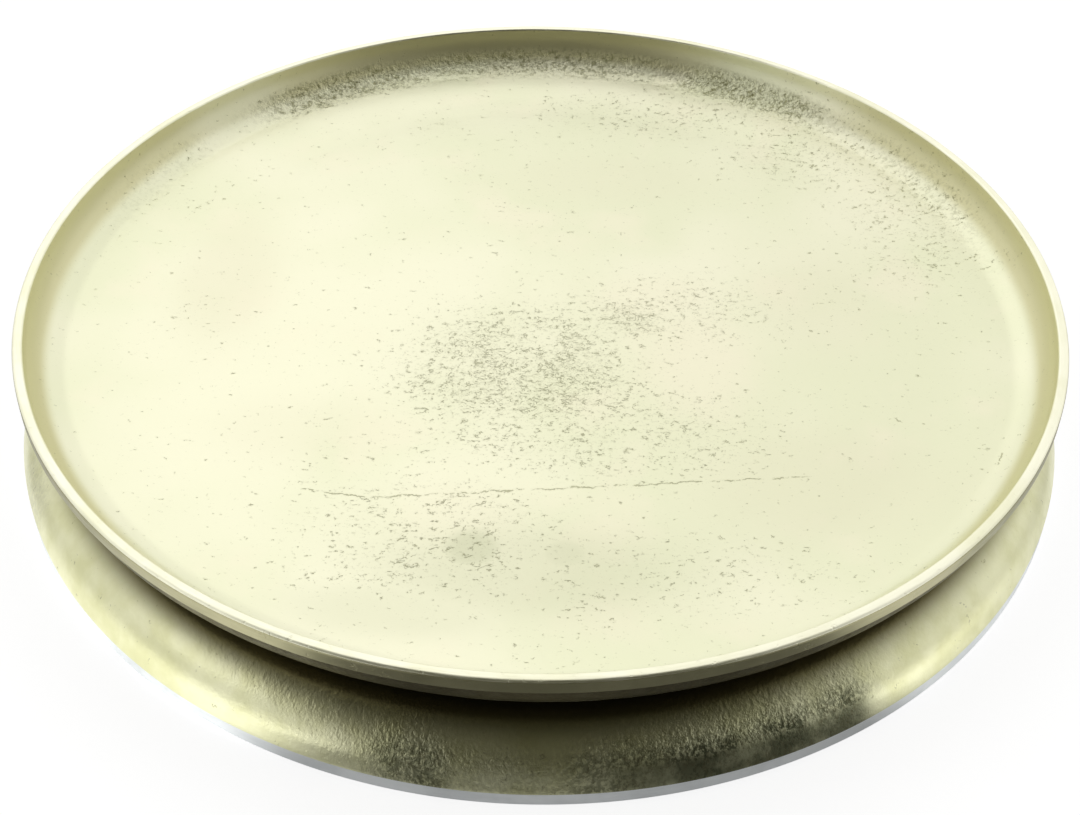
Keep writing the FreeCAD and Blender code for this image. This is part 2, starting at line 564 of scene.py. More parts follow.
@dataclass(frozen=True)
class CastSide:
    """The foot's outside: fine grain, low stains that on the front are painted dark reflection, and painted
    shade under the rim.
    """

    name: str = "cast_side"
    pale: Colour = (0.87, 0.865, 0.57)
    olive: Colour = (0.75, 0.745, 0.43)
    # Dark colour of the fleck pits, and painted shade on the shoulder under the rim's overhang.
    pit_and_shade_colour: Colour = (0.12, 0.105, 0.052)
    # Near-black colour of the low stains; on the foot's front it is painted dark reflection.
    stain: Colour = (0.085, 0.092, 0.05)
    smooth: float = 0.285
    coarse: float = 0.38
    metallic: float = 0.9
    radius: float = 90.0
    across: float = 0.6
    painted_shade_reach: Span = Span(89.6, 84.6)
    stain_and_reflection_height: Span = Span(11.0, 7.5, 0.25, 1.0)
    drift: Blotches = Blotches(Grain(60.0), Span(0.54, 0.78, 0.0, 0.22))
    stain_and_reflection_blotches: Blotches = Blotches(Grain(240.0, 3.0, 0.5), Span(0.32, 0.54, 0.80, 1.0))
    olive_blotches: Blotches = Blotches(Grain(120.0, 4.0), Span(0.35, 0.70))
    even_dark_reflection_x: Span = Span(0.0, 17.0)
    even_dark_reflection_height: Span = Span(9.0, 6.0)
    even_dark_reflection_darkness: float = 0.94
    grain: Grain = Grain(1700.0, 3.0, 0.65)
    grain_relief: float = 0.30
    stain_relief: Span = Span(0.0, 1.0, 1.9, 0.4)
    stain_and_reflection_grain_step: Span = Span(0.42, 0.66, 1.0, 0.40)
    soft: Grain = Grain(330.0)
    soft_relief: float = 0.35
    flecks: Worms = Worms(1100.0, 0.06)
    fleck_darkness: float = 0.5
    bump: Bump = Bump(0.16, 0.9)
    # Patches on the foot's front, where the stain colour is painted dark reflection.
    patches: tuple[Patch, ...] = (
        Patch(-18, -90, 9, 10, 0.85),
        Patch(-4, -92, 18, 8, 0.36),
        Patch(14, -91, 15, 10, 0.84),
        Patch(25, -88, 13, 10, 1.00),
        Patch(36, -85, 12, 11, 1.00),
        Patch(45, -80, 8, 9, 0.95),
        Patch(-84, -34, 8, 12, 0.2),
    )

    def make(self) -> Material:
        """Makes the material.

        Returns:
            The material.
        """
        graph = Graph(bpy.data.materials.new(self.name))
        x, _, height = graph.split(graph.where)
        drawn = graph.round_place(self.radius, self.across)
        # The dark share: random stains low all round, and painted dark reflection on the front.
        patch = graph.most(graph.within(self.patches), graph.blotches(self.drift))
        stained = graph.times(patch, graph.span(height, self.stain_and_reflection_height.metres()))
        stained = graph.times(stained, graph.blotches(self.stain_and_reflection_blotches))
        # On the lower right of the front the painted dark reflection lies even, with little glitter.
        even_dark_reflection = graph.span(height, self.even_dark_reflection_height.metres())
        even_dark_reflection = graph.times(graph.span(x, self.even_dark_reflection_x.metres()), even_dark_reflection)
        grain = graph.noise(self.grain, drawn)
        lively = graph.times(stained, graph.span(even_dark_reflection, self.stain_relief))
        relief = graph.times(grain, graph.plus(lively, self.grain_relief))
        relief = graph.plus(relief, graph.times(graph.noise(self.soft, drawn), self.soft_relief))
        tint = graph.mix(graph.blotches(self.olive_blotches), self.pale, self.olive)
        # Grain tops keep less of the painted dark reflection, so that it glitters.
        worn = graph.most(graph.span(grain, self.stain_and_reflection_grain_step), graph.times(even_dark_reflection, self.even_dark_reflection_darkness))
        tint = graph.mix(graph.times(stained, worn), tint, self.stain)
        flecks = graph.worms(drawn, self.flecks, stained)
        tint = graph.mix(graph.times(flecks, self.fleck_darkness), tint, self.pit_and_shade_colour)
        # Painted shade: the shoulder is darkened towards the neck, under the rim's overhang.
        tint = graph.mix(graph.span(graph.reach(), self.painted_shade_reach.metres()), tint, self.pit_and_shade_colour)
        rough = graph.plus(graph.times(stained, self.coarse - self.smooth), self.smooth)
        return graph.metal(tint, rough, relief, self.bump, self.metallic)


@dataclass(frozen=True)
class GroundEdge:
    """The foot's upright edge and base: turned bare, with lines round it."""

    name: str = "ground_edge"
    bare: Colour = (0.88, 0.91, 0.92)
    dull: Colour = (0.76, 0.79, 0.80)
    roughness: float = 0.38
    variation: tuple[float, float] = (0.05, 0.14)
    metallic: float = 0.9
    line_radius: float = 3.0
    lines: Grain = Grain(4200.0, 2.0, 0.65)
    dullness: Blotches = Blotches(Grain(95.0), Span(0.36, 0.66))
    bump: Bump = Bump(0.03)

    def make(self) -> Material:
        """Makes the material.

        Returns:
            The material.
        """
        graph = Graph(bpy.data.materials.new(self.name))
        lines = graph.noise(self.lines, graph.round_place(self.line_radius))
        colour = graph.mix(graph.blotches(self.dullness), self.bare, self.dull)
        rough = graph.varied(lines, self.roughness, self.variation)
        return graph.metal(colour, rough, lines, self.bump, self.metallic)


@dataclass(frozen=True)
class RawCasting:
    """The plain grain of the sand mould, on faces that nobody sees in use; its near-black copy under the dish
    is painted shade.
    """

    name: str = "raw_casting"
    light: Colour = (0.42, 0.40, 0.28)
    dark: Colour = (0.24, 0.23, 0.15)
    roughness: float = 0.50
    variation: tuple[float, float] = (0.06, 0.14)
    sand: Grain = Grain(1300.0, 3.0, 0.65)
    sand_tint: float = 0.4
    sand_relief: float = 0.6
    lumps: Grain = Grain(260.0)
    stain: Grain = Grain(60.0, 4.0)
    darkening: Span = Span(0.55, 0.90)
    bump: Bump = Bump(0.22)

    def make(self) -> Material:
        """Makes the material.

        Returns:
            The material.
        """
        graph = Graph(bpy.data.materials.new(self.name))
        sand = graph.noise(self.sand)
        lumps = graph.noise(self.lumps)
        stained = graph.plus(graph.noise(self.stain), graph.times(sand, self.sand_tint))
        colour = graph.mix(graph.span(stained, self.darkening), self.light, self.dark)
        rough = graph.varied(lumps, self.roughness, self.variation)
        height = graph.plus(graph.times(sand, self.sand_relief), lumps)
        return graph.metal(colour, rough, height, self.bump)


@dataclass(frozen=True)
class PlatedSteel:
    """Plated or oiled steel of a bolt or washer, with wear and fine marks."""

    name: str
    light: Colour
    dark: Colour
    roughness: float
    variation: tuple[float, float] = (0.05, 0.12)
    wear: Grain = Grain(420.0, 4.0)
    darkening: Span = Span(0.35, 0.70)
    marks: Grain = Grain(2600.0, 2.0)
    bump: Bump = Bump(0.02, 0.7)

    def make(self) -> Material:
        """Makes the material.

        Returns:
            The material.
        """
        graph = Graph(bpy.data.materials.new(self.name))
        wear = graph.noise(self.wear)
        colour = graph.mix(graph.span(wear, self.darkening), self.light, self.dark)
        rough = graph.varied(wear, self.roughness, self.variation)
        return graph.metal(colour, rough, graph.noise(self.marks), self.bump)


@dataclass(frozen=True)
class PressedFelt:
    """Grey pressed felt with short fibres."""

    name: str = "pressed_felt"
    light: Colour = (0.36, 0.36, 0.34)
    dark: Colour = (0.20, 0.20, 0.19)
    roughness: float = 0.95
    metallic: float = 0.0
    fibres: Grain = Grain(3200.0, 4.0, 0.7, 1.2)
    tufts: Grain = Grain(700.0)
    darkening: Span = Span(0.75, 1.25)
    bump: Bump = Bump(0.08, 0.9)

    def make(self) -> Material:
        """Makes the material.

        Returns:
            The material.
        """
        graph = Graph(bpy.data.materials.new(self.name))
        fibres = graph.noise(self.fibres)
        share = graph.span(graph.plus(fibres, graph.noise(self.tufts)), self.darkening)
        colour = graph.mix(share, self.light, self.dark)
        return graph.metal(colour, self.roughness, fibres, self.bump, self.metallic)


@dataclass(frozen=True)
class Shine:
    """A brightness that grows towards a direction, and the share that the dark directions take off it."""

    axis: Triple
    step: Span
    darkening: float

    def level(self, graph: Graph, direction: Socket, dark: Socket) -> Socket:
        """Returns the socket of the brightness in a direction."""
        left = graph.minus(1.0, graph.times(dark, self.darkening))
        return graph.times(graph.span(graph.along(direction, self.axis), self.step), left)


@dataclass(frozen=True)
class PaleFloor:
    """A floor that looks white, and whose mirror image in the plate is dark in front.

    The dark part lies between two directions, each given in degrees round from the front with 1 or -1 for
    its dark side. Close to the plate the mirror image has a brightness of its own.
    """

    name: str = "pale_floor"
    lit: Colour = (0.80, 0.80, 0.80)
    dim: Colour = (0.30, 0.30, 0.30)
    glow: float = 0.85
    dark_sides: tuple[tuple[float, float], ...] = ((-30.0, 1.0), (41.0, -1.0))
    dark_edge: Span = Span(-0.06, 0.16)
    close: Span = Span(104.0, 98.0)
    near: Shine = Shine((-0.342, -0.94, 0.0), Span(0.45, 0.95, 0.55, 0.94), 0.65)
    far: Shine = Shine((0.0, -1.0, 0.0), Span(0.15, 0.85, 0.24, 1.10), 0.97)

    def make(self) -> Material:
        """Makes the material.

        Returns:
            The material.
        """
        graph = Graph(bpy.data.materials.new(self.name))
        path = graph.node("LightPath", {})
        seen, mirrored = path.outputs["Is Camera Ray"], path.outputs["Is Glossy Ray"]
        direction = graph.vector_math("NORMALIZE", graph.where)
        dark: object = 1.0
        for azimuth, inward in self.dark_sides:
            angle = math.radians(azimuth)
            aside = graph.along(direction, (inward * math.cos(angle), inward * math.sin(angle), 0.0))
            dark = graph.times(dark, graph.span(aside, self.dark_edge))
        colour = graph.mix(seen, graph.mix(dark, self.lit, self.dim), self.dim)
        matt = graph.node("BsdfDiffuse", {"Color": colour})
        far = self.far.level(graph, direction, dark)
        closer = graph.minus(self.near.level(graph, direction, dark), far)
        close = graph.span(graph.reach(), self.close.metres())
        shine = graph.times(mirrored, graph.plus(far, graph.times(close, closer)))
        glow = graph.node("Emission", {"Strength": graph.plus(shine, graph.times(seen, self.glow))})
        both = graph.node("AddShader", {0: matt.outputs[0], 1: glow.outputs[0]})
        graph.node("OutputMaterial", {0: both.outputs[0]})
        return graph.owner


def add_object(name: str, data: bpy.types.ID) -> bpy.types.Object:
    """Adds a mesh, a lamp or a camera to the scene.

    Args:
        name: The object's name.
        data: What it shows.

    Returns:
        The object.
    """
    made = bpy.data.objects.new(name, data)
    bpy.context.scene.collection.objects.link(made)
    return made


def add_mesh(name: str, mesh: bmesh.types.BMesh, finishes: Iterable[Material]) -> bpy.types.Object:
    """Adds a worked mesh to the scene, and frees it.

    Args:
        name: The object's name.
        mesh: The mesh.
        finishes: Its materials, in the order of its faces' numbers.

    Returns:
        The object.
    """
    data = bpy.data.meshes.new(name)
    mesh.to_mesh(data)
    mesh.free()
    for finish in finishes:
        data.materials.append(finish)
    return add_object(name, data)


def smooth_share(value: float, low: float, high: float) -> float:
    """Returns a smooth share, 0 below low and 1 above high."""
    share = min(1.0, max(0.0, (value - low) / (high - low)))
    return share * share * (3.0 - 2.0 * share)


def lean(height: float, angle: float) -> float:
    """Returns how far a face that leans by an angle moves sideways over a height."""
    return height * math.tan(math.radians(angle))


@dataclass(frozen=True)
class Corner:
    """A corner of an outline that is turned about the upright axis. Lengths are in millimetres."""

    radius: float
    height: float
    rounding: float = 0.0
    segments: int = 4


@dataclass(frozen=True)
class Swell:
    """One layer of unevenness: its wave length and depth in millimetres, and where its noise starts."""

    length: float
    depth: float
    shift: float = 0.0

    def at(self, place: Vector) -> float:
        """Returns how far the surface lies in from the drawing at a place, in metres."""
        sample = place / (self.length * MM) + Vector((self.shift, -self.shift, self.shift))
        return self.depth * MM * 0.5 * (1.0 + noise.noise(sample))


@dataclass
class Turning:
    """A mesh that is turned from an outline and then made uneven as a casting is."""

    name: str
    corners: Sequence[Corner]
    steps: int
    spacing: Callable[[Vector], float]
    zone: Callable[[Vector, Vector], Zone]
    relief: Callable[[Vector], float]
    finishes: dict[Zone, Material]
    closed: bool = False
    doublings: int = 3
    weld_distance: float = 0.0005
    sharp_angle: float = 34.0

    def outline(self, mesh: bmesh.types.BMesh) -> None:
        """Draws the rounded outline, with its long runs divided.

        Args:
            mesh: The mesh to draw in.
        """
        points = [mesh.verts.new((corner.radius * MM, 0.0, corner.height * MM)) for corner in self.corners]
        count = len(points)
        for place in range(count if self.closed else count - 1):
            mesh.edges.new((points[place], points[(place + 1) % count]))
        for point, corner in zip(points, self.corners):
            if not corner.rounding:
                continue
            arms = [(edge.other_vert(point).co - point.co).normalized() for edge in point.link_edges]
            run = corner.rounding * MM / math.tan(arms[0].angle(arms[1]) / 2)
            bmesh.ops.bevel(mesh, geom=[point], offset=run, offset_type="OFFSET", segments=corner.segments,
                            profile=0.5, affect="VERTICES", material=-1)
        for edge in list(mesh.edges):
            middle = (edge.verts[0].co + edge.verts[1].co) / 2
            cuts = math.ceil(edge.calc_length() / (self.spacing(middle / MM) * MM)) - 1
            if cuts > 0:
                bmesh.ops.subdivide_edges(mesh, edges=[edge], cuts=cuts)

    def turn(self, mesh: bmesh.types.BMesh) -> None:
        """Turns the outline through a sector, and doubles the sector until it is whole.

        Args:
            mesh: The mesh with the outline.
        """
        parts = 2 ** self.doublings
        bmesh.ops.spin(mesh, geom=mesh.verts[:] + mesh.edges[:], cent=(0, 0, 0), axis=(0, 0, 1),
                       angle=math.tau / parts, steps=self.steps // parts)
        for doubling in range(self.doublings):
            copied = bmesh.ops.duplicate(mesh, geom=mesh.verts[:] + mesh.edges[:] + mesh.faces[:])["geom"]
            points = [item for item in copied if isinstance(item, bmesh.types.BMVert)]
            turn = Matrix.Rotation(math.tau / parts * 2 ** doubling, 3, "Z")
            bmesh.ops.rotate(mesh, verts=points, cent=(0, 0, 0), matrix=turn)
        bmesh.ops.remove_doubles(mesh, verts=mesh.verts, dist=self.weld_distance * MM)
        bmesh.ops.recalc_face_normals(mesh, faces=mesh.faces)
        mesh.normal_update()

    def build(self) -> bpy.types.Object:
        """Turns the outline, dresses each face by its zone and makes the surface uneven.

        Returns:
            The finished piece, at the origin.
        """
        mesh = bmesh.new()
        self.outline(mesh)
        self.turn(mesh)
        slots = list(self.finishes)
        for face in mesh.faces:
            face.smooth = True
            face.material_index = slots.index(self.zone(face.calc_center_median() / MM, face.normal))
        for edge in mesh.edges:
            edge.smooth = edge.calc_face_angle(0.0) < math.radians(self.sharp_angle)
        depths = [self.relief(point.co / MM) for point in mesh.verts]
        for point, depth in zip(mesh.verts, depths):
            point.co -= point.normal * depth
        return add_mesh(self.name, mesh, self.finishes.values())


@dataclass
class DishCasting:
    """The upper casting: a shallow dish with a rim and a threaded boss. Lengths are in millimetres."""

    rim_radius: float = 90.0
    lip_width: float = 1.7
    rim_band_height: float = 2.3
    rim_edge_round: float = 0.35
    rim_outer_round: float = 0.6
    rim_top: float = 25.7
    floor_top: float = 17.3
    dish_bottom: float = 14.9
    wall_thickness: float = 1.7
    wall_lean_angle: float = 10.0
    floor_rise_radius: float = 71.0
    floor_rise_angle: float = 6.0
    floor_rise_round: float = 60.0
    inside_corner_round: float = 7.2
    outside_corner_round: float = 9.2
    boss_radius: float = 6.5
    boss_bottom: float = 10.4
    boss_edge_round: float = 0.4
    bolt_hole_radius: float = 2.6
    bolt_hole_top: float = 16.1
    seat_inner_radius: float = 60.0
    seat_outer_radius: float = 75.0
    steps: int = 512
    hidden_run: float = 3.0
    floor_run: float = 1.0
    wall_run: float = 0.6
    run_margin: float = 0.5
    floor_margin: float = 0.2
    lip_fade: float = 2.0
    plain_top: float = 3.0
    plain_margin: float = 1.0
    outside_depth: float = 0.6
    swells: tuple[Swell, ...] = (Swell(38.0, 0.10), Swell(9.0, 0.030, 3.7), Swell(3.4, 0.014, 9.1))
    wall_swells: tuple[Swell, ...] = (Swell(16.0, 0.12, 5.3), Swell(5.0, 0.05, 1.9), Swell(2.4, 0.02, 7.7))

    def inside_wall(self, height: float) -> float:
        """Returns the inner wall's radius at a height."""
        return self.rim_radius - self.lip_width - lean(self.rim_top - height, self.wall_lean_angle)

    def wall_foot(self) -> tuple[float, float]:
        """Finds where the inner wall meets the rising edge of the floor.

        Returns:
            The radius and the height.
        """
        slope = lean(1.0, self.floor_rise_angle)
        wall_slope = lean(1.0, self.wall_lean_angle)
        run = self.inside_wall(self.floor_top) - self.floor_rise_radius
        rise = run * slope / (1.0 - slope * wall_slope)
        return self.inside_wall(self.floor_top + rise), self.floor_top + rise

    def outside_wall(self, height: float) -> float:
        """Returns the outer wall's radius at a height, below the rim."""
        return self.inside_wall(height) + self.wall_thickness / math.cos(math.radians(self.wall_lean_angle))

    def is_inside(self, place: Vector) -> bool:
        """Returns whether a place of the surface is inside the wall, at any height."""
        return math.hypot(place.x, place.y) < self.inside_wall(place.z) + self.wall_thickness / 2

    def corners(self) -> list[Corner]:
        """Draws the outline.

        Returns:
            Its corners, from the axis out under the dish and back over its floor.
        """
        band_bottom = self.rim_top - self.rim_band_height
        step_bottom = band_bottom - (self.rim_radius - self.outside_wall(band_bottom))
        return [
            Corner(0.0, self.bolt_hole_top),
            Corner(self.bolt_hole_radius, self.bolt_hole_top),
            Corner(self.bolt_hole_radius, self.boss_bottom),
            Corner(self.boss_radius, self.boss_bottom, self.boss_edge_round),
            Corner(self.boss_radius, self.dish_bottom),
            Corner(self.outside_wall(self.dish_bottom), self.dish_bottom, self.outside_corner_round, 12),
            Corner(self.outside_wall(step_bottom), step_bottom),
            Corner(self.rim_radius, band_bottom),
            Corner(self.rim_radius, self.rim_top, self.rim_outer_round, 6),
            Corner(self.inside_wall(self.rim_top), self.rim_top, self.rim_edge_round),
            Corner(*self.wall_foot(), self.inside_corner_round, 16),
            Corner(self.floor_rise_radius, self.floor_top, self.floor_rise_round, 6),
            Corner(0.0, self.floor_top),
        ]

    def spacing(self, place: Vector) -> float:
        """Returns how long a run of the outline may be at a place."""
        shown = (self.floor_run if place.x < self.inside_wall(self.floor_top) - self.plain_margin
                 else self.wall_run)
        return self.hidden_run if place.z < self.floor_top - self.run_margin else shown

    def zone(self, place: Vector, normal: Vector) -> Zone:
        """Says how a face is finished.

        Args:
            place: The face's middle.
            normal: The face's normal.

        Returns:
            The zone.
        """
        if place.z > self.rim_top - self.rim_edge_round:
            return Zone.LAND
        outwards = normal.x * place.x + normal.y * place.y > 0.0
        on_rim = math.hypot(place.x, place.y) > self.rim_radius - self.rim_outer_round
        if outwards and on_rim and place.z > self.rim_top - self.rim_band_height:
            return Zone.BAND
        inside = place.z > self.floor_top - self.floor_margin and self.is_inside(place)
        return Zone.INSIDE if inside else Zone.UNDER

    def relief(self, place: Vector) -> float:
        """Says how far the surface lies in from the drawing.

        Args:
            place: The place, in millimetres.

        Returns:
            The depth in metres.
        """
        reach = math.hypot(place.x, place.y)
        here = place * MM
        if place.z > self.floor_top - self.floor_margin and self.is_inside(place):
            wall_radius = self.inside_wall(self.floor_top)
            wall = smooth_share(reach, wall_radius - self.inside_corner_round, wall_radius)
            lip_height = self.rim_top - self.rim_edge_round
            lip = 1.0 - smooth_share(place.z, self.rim_top - self.lip_fade, lip_height)
            floor_depth = sum(swell.at(here) for swell in self.swells)
            wall_depth = sum(swell.at(here) for swell in self.wall_swells)
            return lip * (floor_depth * (1.0 - wall) + wall_depth * wall)
        on_rim = place.z > self.floor_top + self.plain_top
        on_boss = place.z < self.dish_bottom - NEAR or reach < self.boss_radius + self.plain_margin
        if on_rim or on_boss or self.seat_inner_radius < reach < self.seat_outer_radius:
            return 0.0
        return self.wall_swells[0].at(here) * self.outside_depth + self.wall_swells[1].at(here)

    def build(self, finishes: dict[Zone, Material]) -> bpy.types.Object:
        """Makes the dish.

        Args:
            finishes: The material for each zone.

        Returns:
            The piece.
        """
        used = {zone: finishes[zone] for zone in (Zone.INSIDE, Zone.LAND, Zone.BAND, Zone.UNDER)}
        turning = Turning("dish_casting", self.corners(), self.steps, self.spacing, self.zone, self.relief,
                          used)
        piece = turning.build()
        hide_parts("dish")
        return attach(piece, BODY)


@dataclass
class FootCasting:
    """The lower casting: a ground edge, a round shoulder, a neck and a hollow. Lengths are in millimetres."""

    foot_radius: float = 92.1
    foot_bottom: float = 0.8
    edge_top: float = 3.3
    edge_round: float = 0.3
    lean_angle: float = 12.0
    shoulder_round: float = 10.8
    shoulder_top: float = 12.5
    neck_radius: float = 72.0
    foot_top: float = 14.9
    seat_width: float = 9.0
    web_top: float = 14.4
    web_bottom: float = 10.0
    hole_radius: float = 6.8
    base_width: float = 9.0
    hollow_lean_angle: float = 12.0
    hollow_corner_round: float = 5.0
    steps: int = 640
    side_run: float = 0.6
    hidden_run: float = 2.4
    web_margin: float = 0.5
    edge_margin: float = 0.2
    wall_margin: float = 1.0
    side_slope: float = 40.0
    base_height: float = 0.4
    bolt_margin: float = 4.0
    edge_slack: float = 0.01
    edge_fade: float = 1.5
    swells: tuple[Swell, ...] = (Swell(26.0, 0.22, 2.2), Swell(8.0, 0.07, 6.4), Swell(3.2, 0.03, 4.5))
    hollow_swells: tuple[Swell, ...] = (Swell(20.0, 0.20, 8.8), Swell(5.0, 0.08, 3.3))

    def hollow_wall(self, height: float) -> float:
        """Returns the radius of the hollow's wall at a height."""
        return self.foot_radius - self.base_width - lean(height - self.foot_bottom, self.hollow_lean_angle)

    def corners(self) -> list[Corner]:
        """Draws the outline.

        Returns:
            Its corners, from the base out, over the shoulder and down through the hollow.
        """
        shoulder_radius = self.foot_radius - lean(self.shoulder_top - self.edge_top, self.lean_angle)
        seat_inner = self.neck_radius - self.seat_width
        return [
            Corner(self.foot_radius - self.base_width, self.foot_bottom, self.edge_round),
            Corner(self.foot_radius, self.foot_bottom, self.edge_round),
            Corner(self.foot_radius, self.edge_top),
            Corner(shoulder_radius, self.shoulder_top, self.shoulder_round, 26),
            Corner(self.neck_radius, self.shoulder_top),
            Corner(self.neck_radius, self.foot_top),
            Corner(seat_inner, self.foot_top),
            Corner(seat_inner, self.web_top),
            Corner(self.hole_radius, self.web_top),
            Corner(self.hole_radius, self.web_bottom),
            Corner(self.hollow_wall(self.web_bottom), self.web_bottom, self.hollow_corner_round, 8),
        ]

    def spacing(self, place: Vector) -> float:
        """Returns how long a run of the outline may be at a place."""
        outside = place.x > self.foot_radius - self.base_width + self.web_margin
        return self.side_run if outside and place.z > self.foot_bottom + NEAR else self.hidden_run

    def zone(self, place: Vector, normal: Vector) -> Zone:
        """Says how a face is finished.

        Args:
            place: The face's middle.
            normal: The face's normal.

        Returns:
            The zone.
        """
        reach = math.hypot(place.x, place.y)
        on_edge = reach > self.foot_radius - self.edge_margin or place.z < self.foot_bottom + self.edge_margin
        if place.z < self.edge_top and on_edge:
            return Zone.GROUND
        outwards = normal.dot(Vector((place.x, place.y, self.side_slope))) > 0.0
        side = reach > self.foot_radius - self.base_width - self.wall_margin and outwards
        shoulder = place.z > self.shoulder_top - NEAR and reach > self.neck_radius - NEAR
        return Zone.SIDE if side or shoulder else Zone.RAW

    def relief(self, place: Vector) -> float:
        """Says how far the surface lies in from the drawing.

        Args:
            place: The place, in millimetres.

        Returns:
            The depth in metres.
        """
        reach = math.hypot(place.x, place.y)
        here = place * MM
        on_base = place.z < self.foot_bottom + self.base_height
        on_edge = reach > self.foot_radius - self.edge_slack and place.z <= self.edge_top
        on_seat = place.z > self.web_top - NEAR or reach < self.hole_radius + self.bolt_margin
        if on_base or on_edge or on_seat:
            return 0.0
        beside_hollow = reach > self.hollow_wall(place.z) + self.wall_margin
        if beside_hollow or place.z > self.web_bottom + self.web_margin:
            away = smooth_share(place.z, self.edge_top, self.edge_top + self.edge_fade)
            return away * sum(swell.at(here) for swell in self.swells)
        return sum(swell.at(here) for swell in self.hollow_swells)

    def build(self, finishes: dict[Zone, Material]) -> bpy.types.Object:
        """Makes the foot.

        Args:
            finishes: The material for each zone.

        Returns:
            The piece.
        """
        used = {zone: finishes[zone] for zone in (Zone.SIDE, Zone.GROUND, Zone.RAW)}
        turning = Turning("foot_casting", self.corners(), self.steps, self.spacing, self.zone, self.relief,
                          used, closed=True)
        piece = turning.build()
        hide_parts("foot")
        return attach(piece, BODY)


@dataclass
class Fastening:
    """The bolt and its two washers, which keep their drawn shapes."""

    plated: tuple[str, ...] = ("centre_bolt", "flat_washer")
    sprung: tuple[str, ...] = ("spring_washer",)
    zinc: PlatedSteel = PlatedSteel("zinc_plate", (0.74, 0.75, 0.77), (0.55, 0.56, 0.57), 0.34)
    oiled: PlatedSteel = PlatedSteel("oiled_spring_steel", (0.26, 0.26, 0.27), (0.15, 0.15, 0.16), 0.38)

    def dress(self) -> list[bpy.types.Object]:
        """Gives each piece its finish.

        Returns:
            The dressed pieces.
        """
        dressed = []
        for names, finish in ((self.plated, self.zinc.make()), (self.sprung, self.oiled.make())):
            for name in names:
                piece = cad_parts[name]
                piece.data.materials.clear()
                piece.data.materials.append(finish)
                dressed.append(piece)
        return dressed


@dataclass
class FeltPads:
    """The four felt pads under the foot. Lengths are in millimetres."""

    radius: float = 3.5
    thickness: float = 0.8
    edge_round: float = 0.15
    steps: int = 72
    run: float = 0.25
    glued_height: float = 0.05
    fibres: Swell = Swell(0.7, 0.05, 1.3)
    names: tuple[str, ...] = ("front_left_pad", "front_right_pad", "rear_left_pad", "rear_right_pad")

    def relief(self, place: Vector) -> float:
        """Returns how far the felt lies in from the drawing at a place, in metres."""
        return 0.0 if place.z > self.thickness - self.glued_height else self.fibres.at(place * MM)

    def build(self) -> list[bpy.types.Object]:
        """Makes the pads.

        Returns:
            The four pieces.
        """
        felt = {Zone.RAW: PressedFelt().make()}
        corners = [
            Corner(0.0, 0.0),
            Corner(self.radius, 0.0, self.edge_round, 3),
            Corner(self.radius, self.thickness),
            Corner(0.0, self.thickness),
        ]
        pieces = []
        for name in self.names:
            low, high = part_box(name)
            piece = Turning(name + "_felt", corners, self.steps, lambda place: self.run,
                            lambda place, normal: Zone.RAW, self.relief, felt).build()
            middle = (low + high) / 2
            piece.data.transform(Matrix.Translation((middle.x, middle.y, low.z)))
            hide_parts(name)
            pieces.append(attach(piece, BODY))
        return pieces


@dataclass(frozen=True)
class Softbox:
    """A soft lamp: where it hangs, its size and its power in watts."""

    name: str
    place: Triple
    size: float
    power: float


@dataclass(frozen=True)
class Tone:
    """A part of the room with a brightness of its own. Its place and reach are in degrees."""

    azimuth: float
    elevation: float
    inner: float
    outer: float
    level: float

    def over(self, graph: Graph, room: object) -> Socket:
        """Lays this part over the rest of the room.

        Args:
            graph: The node tree, whose coordinates are directions.
            room: The brightness so far.

        Returns:
            The brightness with this part.
        """
        azimuth, elevation = math.radians(self.azimuth), math.radians(self.elevation)
        flat = math.cos(elevation)
        axis = (math.sin(azimuth) * flat, -math.cos(azimuth) * flat, math.sin(elevation))
        edge = Span(math.cos(math.radians(self.outer)), math.cos(math.radians(self.inner)))
        share = graph.span(graph.along(graph.where, axis), edge)
        return graph.plus(room, graph.times(share, graph.minus(self.level, room)))


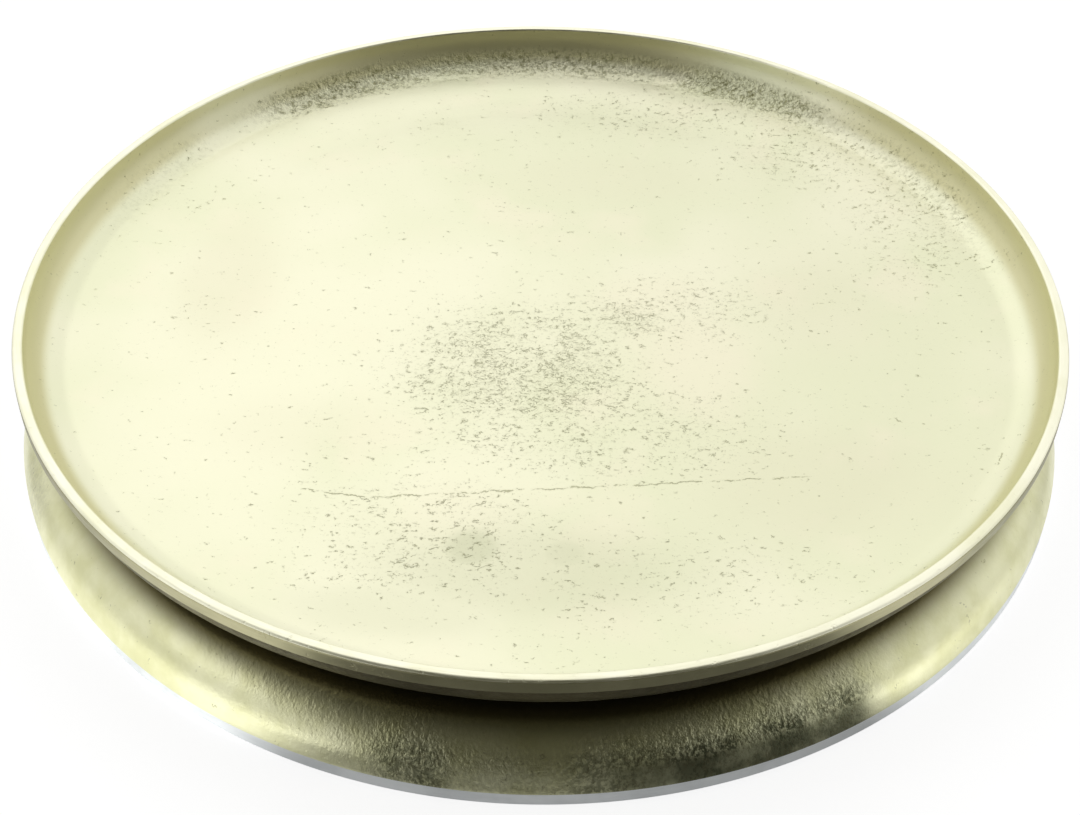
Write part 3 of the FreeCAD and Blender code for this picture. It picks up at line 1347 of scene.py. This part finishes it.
@dataclass
class Studio:
    """The floor, the surroundings, the lamps and the camera. Lengths are in metres, angles in degrees."""

    rim_radius: float = 0.090
    camera_height_angle: float = 40.68
    camera_distance: float = 3.480
    camera_tilt: float = 0.68
    camera_turn: float = 0.01
    camera_roll: float = 0.73
    camera_focal_pixels: float = 1700.0
    camera_sensor: float = 36.0
    camera_clip: float = 0.01
    photo_width: float = 1080.0
    stand_height: float = 0.0008
    floor_reach: float = 40.0
    sky_level: float = 0.82
    tones: tuple[Tone, ...] = (
        Tone(179.0, 34.0, 50.0, 86.0, 1.064),
        Tone(8.0, 12.0, 36.0, 46.0, 0.082),
        Tone(0.0, 56.0, 33.0, 50.0, 0.062),
    )
    warm: Colour = (1.0, 0.95, 0.66)
    warm_level: Span = Span(0.62, 0.10)
    softboxes: tuple[Softbox, ...] = (
        Softbox("back_softbox", (-0.70, 1.60, 1.75), 1.8, 1.6),
        Softbox("left_softbox", (-1.05, -0.42, 0.72), 0.62, 0.55),
    )

    def camera(self) -> None:
        """Sets the camera where the photograph was taken from."""
        height_angle = math.radians(self.camera_height_angle)
        reach = self.camera_distance * self.rim_radius
        height = math.sin(height_angle) * reach + self.stand_height
        place = Vector((0.0, -math.cos(height_angle) * reach, height))
        down = height_angle + math.radians(self.camera_tilt)
        turn = math.radians(self.camera_turn)
        ahead = Vector((math.sin(turn) * math.cos(down), math.cos(turn) * math.cos(down), -math.sin(down)))
        right = ahead.cross(Vector((0.0, 0.0, 1.0))).normalized()
        up = right.cross(ahead)
        roll = math.radians(self.camera_roll)
        right, up = math.cos(roll) * right + math.sin(roll) * up, math.cos(roll) * up - math.sin(roll) * right
        data = bpy.data.cameras.new("photo_camera")
        data.sensor_width = self.camera_sensor
        data.lens = data.sensor_width * self.camera_focal_pixels / self.photo_width
        data.clip_start = self.camera_clip
        made = add_object("photo_camera", data)
        made.matrix_world = Matrix((
            (right.x, up.x, -ahead.x, place.x),
            (right.y, up.y, -ahead.y, place.y),
            (right.z, up.z, -ahead.z, place.z),
            (0.0, 0.0, 0.0, 1.0),
        ))
        bpy.context.scene.camera = made

    def surroundings(self) -> None:
        """Makes a white room that is dark on the side of the camera, and plain white to the camera."""
        graph = Graph(bpy.data.worlds.new("studio"), "Generated")
        bpy.context.scene.world = graph.owner
        room: object = self.sky_level
        for tone in self.tones:
            room = tone.over(graph, room)
        level = graph.most(room, graph.node("LightPath", {}).outputs["Is Camera Ray"])
        colour = graph.mix(graph.span(level, self.warm_level), WHITE, self.warm)
        background = graph.node("Background", {"Color": colour, "Strength": level})
        graph.node("OutputWorld", {0: background.outputs[0]})

    def floor(self) -> None:
        """Lays the pale floor."""
        mesh = bmesh.new()
        bmesh.ops.create_grid(mesh, x_segments=1, y_segments=1, size=self.floor_reach)
        add_mesh("studio_floor", mesh, [PaleFloor().make()])

    def lamps(self) -> None:
        """Hangs the softboxes, turned to the plate."""
        for softbox in self.softboxes:
            data = bpy.data.lights.new(softbox.name, "AREA")
            data.shape = "DISK"
            data.size = softbox.size
            data.energy = softbox.power
            lamp = add_object(softbox.name, data)
            lamp.location = softbox.place
            lamp.rotation_mode = "QUATERNION"
            lamp.rotation_quaternion = (-Vector(softbox.place)).to_track_quat("-Z", "Y")

    def build(self) -> None:
        """Sets up the whole studio."""
        self.surroundings()
        self.floor()
        self.lamps()
        self.camera()
        bpy.context.scene.view_settings.view_transform = "Standard"


def main() -> None:
    """Builds the plate and the studio."""
    logging.basicConfig(level=logging.INFO, format="%(message)s")
    finishes = {
        Zone.INSIDE: BurnishedFloor().make(),
        Zone.LAND: RubbedLand().make(),
        # The outer band is the lip's finish made much darker: painted shade.
        Zone.BAND: RubbedLand("painted_shade_band", (0.38, 0.36, 0.215), (0.29, 0.28, 0.16), 0.34).make(),
        Zone.SIDE: CastSide().make(),
        Zone.GROUND: GroundEdge().make(),
        # The dish's outer wall and underside: the raw casting made near black, as painted shade under the
        # rim.
        Zone.UNDER: RawCasting("painted_shade_underside", (0.135, 0.12, 0.062), (0.09, 0.08, 0.042), 0.48).make(),
        Zone.RAW: RawCasting().make(),
    }
    pieces = [DishCasting().build(finishes), FootCasting().build(finishes)]
    pieces += FeltPads().build()
    pieces += Fastening().dress()
    for piece in pieces:
        LOG.info("%s: %d faces", piece.name, len(piece.data.polygons))
    Studio().build()


if __name__ == "__main__":
    main()
